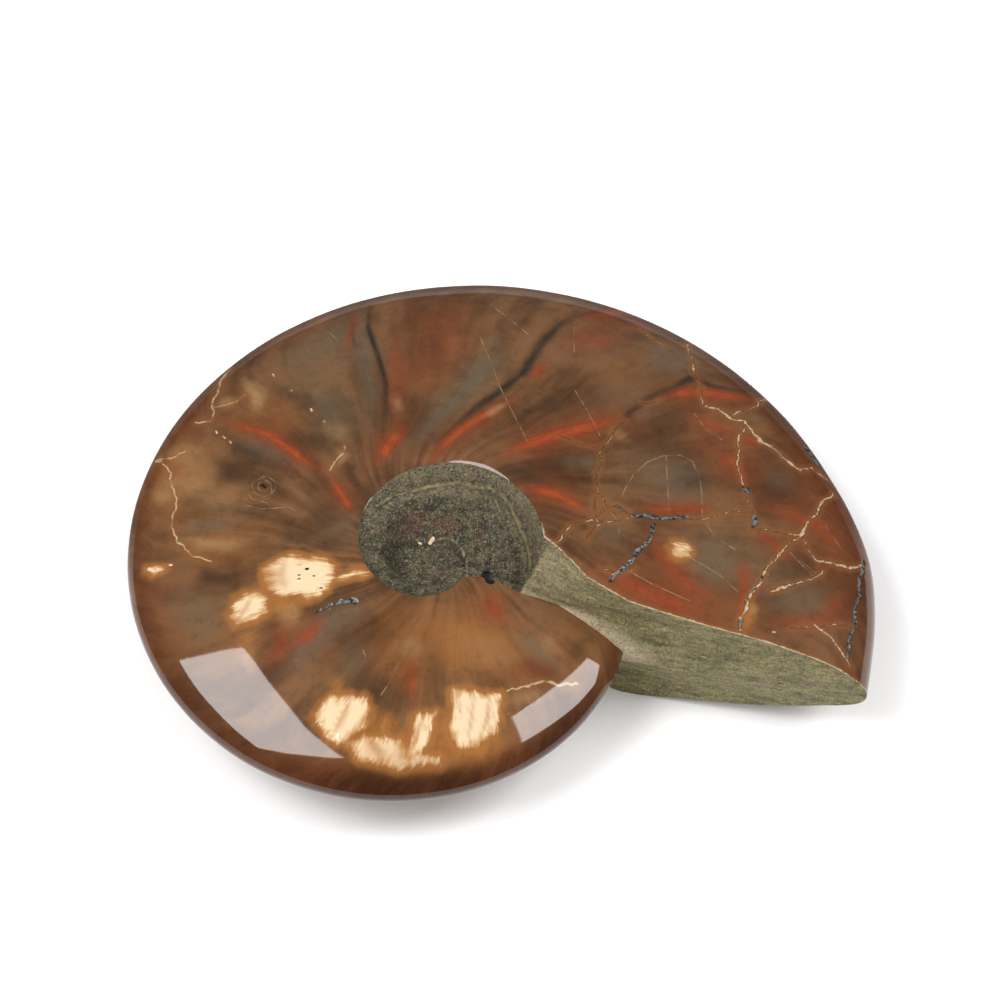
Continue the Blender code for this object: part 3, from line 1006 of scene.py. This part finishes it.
def paint(strokes):
    """How strongly each point is tinted by these streaks, from 0 to 1. They fade at their ends."""
    strength = np.zeros(len(spots))
    for half_width, most, route in strokes:
        width, line = half_width / MILLIMETRES, on_top(route)
        near = near_route(spots[:, :2], line, STROKE_REACH * width)
        gap = np.full(len(near), FAR_AWAY)
        place_on = np.zeros(len(near))
        done = 0.0
        for start, end in zip(line, line[1:]):
            this_gap, along = gap_and_place(spots[near, :2], start, end)
            place_on = np.where(this_gap < gap, done + along, place_on)
            gap = np.minimum(gap, this_gap)
            done += np.hypot(*(end - start))
        from_end = np.minimum(place_on, done - place_on) / done
        taper = END_STRENGTH + (1 - END_STRENGTH) * eased(from_end / END_SHARE)
        width_here = width * (1 - END_NARROWING * (1 - taper))
        stain = most * np.exp(-((gap / width_here) ** STROKE_EDGE)) * taper
        strength[near] = 1 - (1 - strength[near]) * (1 - stain)
    return strength * on_top_side


# The whole fossil is one piece of stone, so it is one mesh. Its points keep how far the marks are
# and how strong the streaks are there, in millimetres and in shares, for both materials to use.

from_lip = distance - lip_radius(back)
mesh = bpy.data.meshes.new("ammonite_fossil")
mesh.from_pydata(skin.tolist(), [], faces.tolist())
for name, values in (
    ("red_brown", paint(RED_BROWN_STROKES)),
    ("tan", paint(TAN_STROKES)),
    ("olive", paint(OLIVE_STROKES)),
    ("shade", paint(PAINTED_SHADE_STROKES)),
    ("red", paint(RED_STROKES)),
    ("glow", paint(haloes(RED_STROKES))),
    ("dull", paint(DULL_STROKES)),
    ("gold", paint(GOLD_STROKES)),
    ("dark", paint(DARK_STROKES)),
    ("grey", paint(GREY_STROKES)),
    ("amber", paint(AMBER_STROKES)),
    ("vein", paint(VEIN_STROKES)),
    ("front_rim_shade", paint(FRONT_RIM_SHADE_STROKES)),
    ("navel_red", paint(NAVEL_RED_STROKES)),
    ("pale_crack", pale_gap * MILLIMETRES),
    ("dark_crack", dark_gap * MILLIMETRES),
    ("hairline", hair_gap * MILLIMETRES),
    ("flake_edge", flake_gap * MILLIMETRES),
    ("speck", speck_gap * MILLIMETRES),
    ("dot", dot_gap * MILLIMETRES),
    ("seam", seam_gap * MILLIMETRES),
    ("patch", patch_depth * MILLIMETRES),
    ("edge", edge_gap * MILLIMETRES),
    ("top_side", on_top_side),
    ("rim", fading(inward, 0.02, 0.10)),
    ("far_rim", fading(inward, 0.03, 0.11) * fading(-spots[:, 1], -0.02, 0.01)),
    ("open_flank", 1 - fading(from_lip, 0.002, 0.018)),
    ("cut_end", fading(shares, 0.004, 0.034)),
    ("foot", 1 - fading(shares * on_kind[:, BROKEN_FACE], 0.80, 1.0)),
    ("by_navel", fading(distance, 0.034, 0.054)),
    ("navel", (on_kind[:, UPPER_STONE] | on_kind[:, LOWER_STONE]).astype(float)),
    ("lit_navel_wall", fading(lip_radius(bearing) - distance, 0.0035, 0.0075) * sunny_side),
):
    mesh.attributes.new(name, "FLOAT", "POINT").data.foreach_set("value", values)
for name, vectors in (("grown", grown), ("spot", spots)):
    attribute = mesh.attributes.new(name, "FLOAT_VECTOR", "POINT")
    attribute.data.foreach_set("vector", (vectors * MILLIMETRES).ravel())


# The polished shell is brown mineral, clouded by the layers under it, with a hard clear gloss. Red
# and gold glow along its ribs, and chalk, lime and blue-grey stone fill the places where it broke.

DEEP_BROWN = (0.066, 0.031, 0.014)
WARM_BROWN = (0.162, 0.078, 0.034)
RED_BROWN = (0.152, 0.047, 0.018)
TAN = (0.205, 0.078, 0.023)
OLIVE = (0.128, 0.080, 0.043)
PAINTED_DEEP_SHADE = (0.040, 0.015, 0.005)
RIB_GLOW = (0.160, 0.042, 0.015)
RIB_RED = (0.215, 0.040, 0.013)
RIB_BRIGHT_RED = (0.33, 0.062, 0.017)
RIB_GOLD = (0.29, 0.165, 0.075)
RIB_DARK = (0.030, 0.020, 0.013)
RIB_GREY = (0.105, 0.080, 0.052)
AMBER = (0.290, 0.115, 0.030)
RIM_DARK = (0.062, 0.017, 0.005)
CHALK = (0.64, 0.485, 0.31)
CHALK_DUSTY = (0.42, 0.245, 0.105)
CHALK_EDGE = (0.25, 0.098, 0.028)
CRACK_PALE = (0.45, 0.35, 0.22)
CRACK_ORANGE = (0.22, 0.080, 0.024)
CRACK_BLUE = (0.135, 0.155, 0.150)
CRACK_BLACK = (0.012, 0.011, 0.010)
POLISH = {"Coat Roughness": 0.045, "Coat IOR": 1.5, "Specular IOR Level": 0.0, "IOR": 1.5}
SHELL_ROUGHNESS = 0.30
FILLING_ROUGHNESS = 0.3  # what a filling adds
FAR_RIM_DULLING = 0.85  # share of the gloss that the far rim lacks

# These tone whole parts: streaks, colour, and the size and place of the patches on the hidden side.
GROUND_TONES = (
    ("olive", OLIVE, 17.0, (40, 0, 0)),
    ("red_brown", RED_BROWN, 21.0, (0, 60, 0)),
    ("tan", TAN, 14.0, (90, 10, 0)),
    # painted shade, from the shade streaks
    ("shade", PAINTED_DEEP_SHADE, 12.0, (20, 70, 0)),
    ("glow", RIB_GLOW, 9.0, (20, 30, 0)),
)
# These lie along the ribs, and their strength comes after their colour.
RIB_TONES = (
    ("grey", RIB_GREY, 0.90, 5.0, (10, 3, 0)),
    ("amber", AMBER, 0.95, 8.0, (71, 31, 0)),
    ("dark", RIB_DARK, 1.05, 3.5, (50, 50, 0)),
    ("red", RIB_RED, 1.0, 4.0, (60, 20, 0)),
    ("gold", RIB_GOLD, 0.85, 6.0, (33, 44, 0)),
)
ALONG_RIBS = (1.0, 0.12, 1.0)  # stretches of a noise, so that it runs along the ribs
LOOSELY_ALONG_RIBS = (1.0, 0.40, 1.0)


class Shade:
    """A value or a colour in a material. Arithmetic on values adds the nodes that work it out."""

    def __init__(self, tree, socket=None):
        self.tree = tree
        self.socket = socket

    def node(self, kind, settings=(), values=(), out=0):
        """Any other node: its settings are made first, then its sockets are set or linked."""
        made = self.tree.nodes.new("ShaderNode" + kind)
        for name, setting in dict(settings).items():
            setattr(made, name, setting)
        for name, value in dict(values).items():
            if isinstance(value, Shade):
                self.tree.links.new(value.socket, made.inputs[name])
            else:
                made.inputs[name].default_value = value
        return Shade(self.tree, made.outputs[out] if len(made.outputs) else None)

    def maths(self, operation, first, second):
        return self.node("Math", {"operation": operation}, {0: first, 1: second})

    def __add__(self, other):
        return self.maths("ADD", self, other)

    def __radd__(self, other):
        return self.maths("ADD", other, self)

    def __sub__(self, other):
        return self.maths("SUBTRACT", self, other)

    def __rsub__(self, other):
        return self.maths("SUBTRACT", other, self)

    def __mul__(self, other):
        return self.maths("MULTIPLY", self, other)

    def __rmul__(self, other):
        return self.maths("MULTIPLY", other, self)


def new_material(name):
    material = bpy.data.materials.new(name)
    material.use_nodes = True
    material.node_tree.nodes.clear()
    return material, Shade(material.node_tree)


def mark(shade, name):
    """What the skin keeps under this name."""
    return shade.node("Attribute", {"attribute_name": name}, out=2)


def place(shade, name, stretch=(1, 1, 1), move=(0, 0, 0)):
    """A place on the skin in millimetres, stretched for the noise that is laid there."""
    at = shade.node("Attribute", {"attribute_name": name}, out=1)
    return shade.node("Mapping", {}, {"Vector": at, "Scale": stretch, "Location": move})


def cloud(at, size, detail=3.0, roughness=0.55):
    """Noise from 0 to 1, with an even middle, in patches of this size in millimetres."""
    values = {"Vector": at, "Scale": 1 / size, "Detail": detail, "Roughness": roughness}
    return at.node("TexNoise", {"normalize": True}, values)


def between(value, low, high):
    """0 below low, 1 above high, and smooth from one to the other."""
    limits = {"Value": value, "From Min": low, "From Max": high}
    return value.node("MapRange", {"interpolation_type": "SMOOTHSTEP"}, limits)


def within(value, low, high):
    """1 below low, 0 above high, and smooth from one to the other."""
    return 1 - between(value, low, high)


def tint(share, first, second):
    """The first colour where the share is 0, the second where it is 1."""
    colours = [c if isinstance(c, Shade) else (*c, 1.0) for c in (first, second)]
    return share.node("Mix", {"data_type": "RGBA"}, {0: share, 6: colours[0], 7: colours[1]}, out=2)


def toned(share, colour, factor):
    """The colour made darker or lighter by this factor where the share is 1."""
    tone = tint(share, (1, 1, 1), (factor, factor, factor))
    settings = {"data_type": "RGBA", "blend_type": "MULTIPLY"}
    return share.node("Mix", settings, {0: 1.0, 6: colour, 7: tone}, out=2)


shell_material, shell = new_material("polished_fossil_shell")
at_spot = place(shell, "spot")
large = cloud(at_spot, 22.0, 4.0)
medium = cloud(place(shell, "grown", (1.0, 0.30, 1.0)), 10.0, 5.0)
mottled = cloud(place(shell, "spot", move=(7, 3, 1)), 3.5, 6.0, 0.65)
stripes = cloud(place(shell, "grown", ALONG_RIBS), 1.8)
grain = cloud(at_spot, 0.35, 2.0)
ragged = cloud(place(shell, "grown", (1.0, 0.36, 1.0), (31, 7, 0)), 3.4, 6.0, 0.60) - 0.5
fibres = cloud(place(shell, "grown", (1.0, 0.18, 1.0), (3, 3, 3)), 1.0, 5.0, 0.65) - 0.5

# The brown ground with its broad tones. On the hidden side they lie in patches of their own.
colour = tint(between(0.55 * large + 0.45 * medium, 0.38, 0.62), DEEP_BROWN, WARM_BROWN)
hidden_side = 1 - mark(shell, "top_side")
for name, pigment, size, move in GROUND_TONES:
    hidden = between(cloud(place(shell, "grown", LOOSELY_ALONG_RIBS, move), size, 4.0), 0.52, 0.66)
    amount = mark(shell, name) * (1 + 1.4 * ragged)
    colour = tint(amount + 0.8 * hidden * hidden_side, colour, pigment)
colour = tint(mark(shell, "rim") * (0.60 + 1.2 * ragged), colour, RIM_DARK)

# The streaks along the ribs.
for name, pigment, strength, size, move in RIB_TONES:
    hidden = between(cloud(place(shell, "grown", ALONG_RIBS, move), size), 0.60, 0.72)
    amount = strength * mark(shell, name)
    streaked = amount * (1.0 + 1.5 * ragged + 0.9 * fibres)
    colour = tint(streaked + 0.7 * hidden * hidden_side, colour, pigment)
    if name == "red":
        colour = tint(between(0.9 * amount + 1.6 * fibres, 0.50, 1.00) * 0.7, colour, RIB_BRIGHT_RED)

# Fine mottling and the grain.
colour = toned(between(mottled, 0.50, 0.68) * 0.38, colour, 0.55)
colour = toned(between(1 - mottled, 0.56, 0.70) * 0.3, colour, 1.45)
colour = toned(between(stripes, 0.46, 0.66) * 0.13 * mark(shell, "open_flank"), colour, 0.62)
colour = toned(between(grain, 0.50, 0.70) * 0.35, colour, 0.70)

# The chalky patches, with an amber fringe, a dusty edge and bits of chalk that thin out.
bits = cloud(place(shell, "grown", LOOSELY_ALONG_RIBS, (9, 9, 9)), 2.2, 6.0, 0.68) - 0.5
depth = mark(shell, "patch") + 2.4 * ragged + fibres + 0.3
colour = tint(between(depth, -2.4, -0.3) * 0.65, colour, AMBER)
colour = tint(between(depth, -0.9, 0.2) * 0.9, colour, CHALK_EDGE)
colour = tint(between(depth + 2.0 * bits, -0.2, 0.9), colour, CHALK_DUSTY)
colour = tint(between(depth + 8.0 * bits, 0.3, 2.2) * 0.95, colour, CHALK)
colour = tint(mark(shell, "vein") * (0.85 + 1.2 * ragged), colour, AMBER)
# Painted shade along the front rim, under the patches.
colour = toned(mark(shell, "front_rim_shade") * (0.60 + ragged), colour, 0.35)

# Scratches and the edges of flake scars, broken here and there.
warp = 0.24 * (cloud(at_spot, 0.8, 3.0, 0.6) - 0.5)
swell = 1.1 * (cloud(place(shell, "spot", move=(6, 1, 8)), 2.8, 3.0, 0.6) - 0.43)
broken = cloud(place(shell, "spot", move=(3, 8, 0)), 2.6)
crumbs = cloud(place(shell, "spot", move=(5, 5, 5)), 1.1, 4.0, 0.7)
hair = mark(shell, "hairline") + warp
colour = tint(within(hair, -0.02, 0.14) * between(broken, 0.32, 0.66) * 0.34, colour, CRACK_PALE)
flake = mark(shell, "flake_edge") + warp
colour = tint(within(flake, 0.0, 2.6) * 0.35, colour, TAN)
colour = tint(within(flake, -0.12, 0.10) * between(broken, 0.30, 0.55) * 0.75, colour, CRACK_PALE)

# Cracks filled with pale crumbs of lime, in an orange stain.
pale = mark(shell, "pale_crack") + warp + swell
colour = tint(within(pale, 0.0, 1.8) * 0.45, colour, CRACK_ORANGE)
colour = toned(within(pale, 0.0, 0.28) * 0.6, colour, 0.35)
pale_fill = within(pale, -0.20, 0.0) * between(broken, 0.24, 0.40)
lime = tint(between(crumbs, 0.36, 0.56), CRACK_ORANGE, CRACK_PALE)
colour = tint(pale_fill * 0.92, colour, lime)

# Cracks filled with blue-grey stone and black crumbs.
blue = mark(shell, "dark_crack") + 1.6 * warp + swell
colour = toned(within(blue, -0.2, 0.2) * 0.70, colour, 0.30)
blue_fill = within(blue, -0.30, -0.08)
blue_stone = tint(between(crumbs, 0.40, 0.58), CRACK_BLACK, CRACK_BLUE)
colour = tint(blue_fill * 0.92, colour, blue_stone)

# Dark dots, pale specks, and the thin pale edge along the broken face.
dot = mark(shell, "dot") + 0.5 * warp
colour = tint(within(dot, -0.05, 0.12), colour, CRACK_BLACK)
speck = mark(shell, "speck") + 1.6 * warp
colour = tint(within(speck, 0.0, 0.6) * 0.5, colour, CRACK_ORANGE)
colour = tint(within(speck, -0.08, 0.08) * (0.25 + 0.6 * between(crumbs, 0.36, 0.52)), colour, CHALK)
edge = mark(shell, "edge") + 2.0 * warp
by_cut = mark(shell, "cut_end")
colour = tint(within(edge, 0.3, 2.0) * by_cut * 0.35, colour, CRACK_ORANGE)
edge_bits = within(edge + swell, 0.10, 0.60) * between(crumbs, 0.36, 0.48)
colour = tint(edge_bits * by_cut, colour, CRACK_PALE)

filled = (pale_fill + blue_fill) * 0.8 + 0.25 * between(depth, 0.0, 0.9)
gloss = (1 - filled) * (1 - mark(shell, "dull")) * (1 - FAR_RIM_DULLING * mark(shell, "far_rim"))
height = 0.6 * mottled + 0.4 * stripes
bump = shell.node("Bump", {}, {"Strength": 0.03, "Distance": 0.0002, "Height": height})
roughness = SHELL_ROUGHNESS + FILLING_ROUGHNESS * filled
looks = {"Base Color": colour, "Roughness": roughness, "Coat Weight": gloss, "Normal": bump}
surface = shell.node("BsdfPrincipled", {}, {**POLISH, **looks})
shell.node("OutputMaterial", {}, {"Surface": surface})


# Bare stone shows in the navels and on the broken face: fine grey-green sandstone that was never
# polished. It is darker in the navels, and paler by the foot, where weather and dust have reached it.

NAVEL_DARK = (0.010, 0.008, 0.005)
NAVEL_LIGHT = (0.112, 0.091, 0.048)
NAVEL_WALL_LIGHT = (0.215, 0.178, 0.100)
NAVEL_RED = (0.130, 0.045, 0.030)
SEAM_PALE = (0.300, 0.240, 0.110)
FACE_LIGHT = (0.250, 0.212, 0.084)
FACE_DARK = (0.066, 0.059, 0.022)
FOOT_GREY = (0.500, 0.400, 0.260)
GRAIN_BLACK = (0.009, 0.008, 0.006)
GRAIN_PALE = (0.46, 0.39, 0.22)

stone_material, stone = new_material("bare_stone")
at_spot = place(stone, "spot")
streaks = cloud(place(stone, "spot", (0.22, 0.22, 1.3)), 3.0, 6.0, 0.75)
coarse = cloud(at_spot, 2.6, 8.0, 0.8)
sand = cloud(at_spot, 0.55, 3.0, 0.8)
black_sand = cloud(place(stone, "spot", move=(9, 4, 2)), 0.65, 4.0, 0.8)
flecks = cloud(place(stone, "spot", (0.35, 0.35, 1.4), (2, 9, 4)), 0.9, 3.0, 0.6)
reddish = between(cloud(place(stone, "spot", move=(4, 4, 4)), 5.0, 4.0), 0.58, 0.70)
in_navel = mark(stone, "navel")
on_face = 1 - in_navel

# The navels' stone, then the broken face's.
navel_colour = tint(between(coarse, 0.38, 0.62), NAVEL_DARK, NAVEL_LIGHT)
# Painted light on the navel's back wall, which faces the light.
navel_colour = tint(mark(stone, "lit_navel_wall") * (0.1 + coarse), navel_colour, NAVEL_WALL_LIGHT)
stained = reddish * 0.35 + mark(stone, "navel_red") * (0.1 + 1.2 * coarse)
navel_colour = tint(stained, navel_colour, NAVEL_RED)
face_colour = tint(between(coarse * 0.5 + streaks * 0.5, 0.38, 0.62), FACE_DARK, FACE_LIGHT)
weathered = (mark(stone, "foot") + 0.30 * mark(stone, "by_navel")) * on_face
face_colour = tint(weathered * (0.15 + 1.3 * coarse), face_colour, FOOT_GREY)
colour = tint(in_navel, face_colour, navel_colour)

# Pale and black grains.
colour = tint(between(sand, 0.54, 0.64) * 0.50, colour, GRAIN_PALE)
colour = tint(between(flecks, 0.64, 0.70) * on_face * 0.8, colour, GRAIN_PALE)
colour = tint(between(black_sand, 0.51, 0.58) * (0.50 + 0.38 * in_navel), colour, GRAIN_BLACK)

# Seams between the whorls, pale specks and dark dots.
seam = mark(stone, "seam") + 2.4 * (coarse - 0.5) + 0.8 * (sand - 0.5)
colour = toned(within(seam, 0.1, 1.5) * 0.6, colour, 0.45)
colour = tint(within(seam, -0.15, 0.25) * between(flecks, 0.34, 0.50) * 0.75, colour, SEAM_PALE)
speck = mark(stone, "speck") + 0.5 * (sand - 0.5)
colour = tint(within(speck, -0.08, 0.08), colour, CHALK)
# The largest dark dot is a notch, painted black for the shade in its hollow.
dot = mark(stone, "dot") + 0.6 * (coarse - 0.5)
colour = tint(within(dot, -0.4, 0.6), colour, GRAIN_BLACK)

height = sand * 0.7 + coarse
bump = stone.node("Bump", {}, {"Strength": 1.0, "Distance": 0.0006, "Height": height})
looks = {"Base Color": colour, "Roughness": 0.60, "Normal": bump, "IOR": 1.5}
surface = stone.node("BsdfPrincipled", {}, looks)
stone.node("OutputMaterial", {}, {"Surface": surface})


# The two materials meet in a sharp line along the lips and round the broken face. One flat sheet
# takes the colours when they are baked: the upper side, the lower side and the broken face on it.

# What lies in each chart, how it is laid flat, its scale for each metre and its lowest corner.
drawn_out = spots[:, :2] * ((distance + drop) / distance)[:, None]
CHARTS = (
    ((UPPER_SHELL, UPPER_STONE), drawn_out, 3.45, (0.01, 0.335)),
    ((LOWER_SHELL, LOWER_STONE), drawn_out, 1.65, (0.01, 0.01)),
    ((BROKEN_FACE,), np.column_stack([spots[:, 2], distance]), 3.2, (0.81, 0.335)),
)
corners = faces.ravel()
bake_sheet = np.zeros((len(corners), 2))
for chart, flat, scale, low_corner in CHARTS:
    chosen = np.repeat(np.isin(kinds, chart), 3)
    at = flat[corners[chosen]] * scale
    bake_sheet[chosen] = at - at.min(axis=0) + low_corner
mesh.uv_layers.new(name="OFBake").data.foreach_set("uv", bake_sheet.ravel())

is_stone = kinds > LOWER_SHELL
mesh.materials.append(shell_material)
mesh.materials.append(stone_material)
mesh.polygons.foreach_set("material_index", is_stone.astype(int))
mesh.shade_smooth()
edge_at_corner = np.zeros(len(corners), int)
mesh.loops.foreach_get("edge_index", edge_at_corner)
stone_sides = np.bincount(edge_at_corner, np.repeat(is_stone, 3))
mesh.attributes.new("sharp_edge", "BOOLEAN", "EDGE").data.foreach_set("value", stone_sides == 1)
mesh.update()
fossil = bpy.data.objects.new("ammonite_fossil", mesh)
bpy.context.scene.collection.objects.link(fossil)
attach(fossil, "root")
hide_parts("ammonite")


# The floor is a plain pale sheet. Two large soft boxes, left and right, show in the polish. The
# ceiling and a low panel in front only fill the shadows and aren't seen in it.

FLOOR_SIZE = 6.0
FLOOR_PAINT = (0.92, 0.92, 0.92, 1)
ROOM_LIGHT = 0.12
BOX_DISTANCE = 1.5
# Name, bearing and height in degrees, width and depth for each metre of distance, which way the
# width runs, brightness, and whether it shows in the polish.
SOFT_BOXES = (
    ("left_soft_box", -168, 58, 0.53, 0.58, (0.805, 0.262, 0.531), 8.5, True),
    ("right_soft_box", 1, 52, 0.53, 0.37, (-0.623, -0.611, 0.488), 8.5, True),
    ("ceiling", -90, 68, 2.5, 2.5, (1, 0, 0), 0.70, False),
    ("front_fill", -90, 14, 2.4, 0.45, (1, 0, 0), 1.3, False),
)

bpy.ops.mesh.primitive_plane_add(size=FLOOR_SIZE, location=(0, 0, 0))
floor = bpy.context.object
floor.name = "floor"
floor_material, sheet = new_material("pale_floor")
looks = {"Base Color": FLOOR_PAINT, "Roughness": 1.0, "Specular IOR Level": 0.0}
surface = sheet.node("BsdfPrincipled", {}, looks)
sheet.node("OutputMaterial", {}, {"Surface": surface})
floor.data.materials.append(floor_material)

for name, turned, raised, width, depth, width_along, brightness, seen in SOFT_BOXES:
    turned, raised = math.radians(turned), math.radians(raised)
    level = math.cos(raised)
    towards = Vector((math.cos(turned) * level, math.sin(turned) * level, math.sin(raised)))
    across = Vector(width_along)
    across = (across - across.dot(towards) * towards).normalized()
    data = bpy.data.lights.new(name, "AREA")
    data.shape = "RECTANGLE"
    data.size, data.size_y = width * BOX_DISTANCE, depth * BOX_DISTANCE
    data.energy = brightness * math.pi * data.size * data.size_y
    light = bpy.data.objects.new(name, data)
    bpy.context.scene.collection.objects.link(light)
    light.matrix_world = Matrix((across, towards.cross(across), towards)).transposed().to_4x4()
    light.location = Vector(coil_axis) + towards * BOX_DISTANCE
    light.visible_glossy = seen

world = bpy.data.worlds.new("studio")
world.use_nodes = True
background = world.node_tree.nodes["Background"]
background.inputs["Color"].default_value = (1, 1, 1, 1)
background.inputs["Strength"].default_value = ROOM_LIGHT
bpy.context.scene.world = world
bpy.context.scene.view_settings.view_transform = "Standard"

# The camera stands where the marks were placed from.
camera_data = bpy.data.cameras.new("camera")
camera_data.lens = LENS
camera_data.sensor_width = SENSOR
camera = bpy.data.objects.new("camera", camera_data)
camera.location = coil_axis + CAMERA_FROM_COIL
camera.rotation_euler = (math.pi / 2 - CAMERA_DOWN, 0, 0)
bpy.context.scene.collection.objects.link(camera)
bpy.context.scene.camera = camera
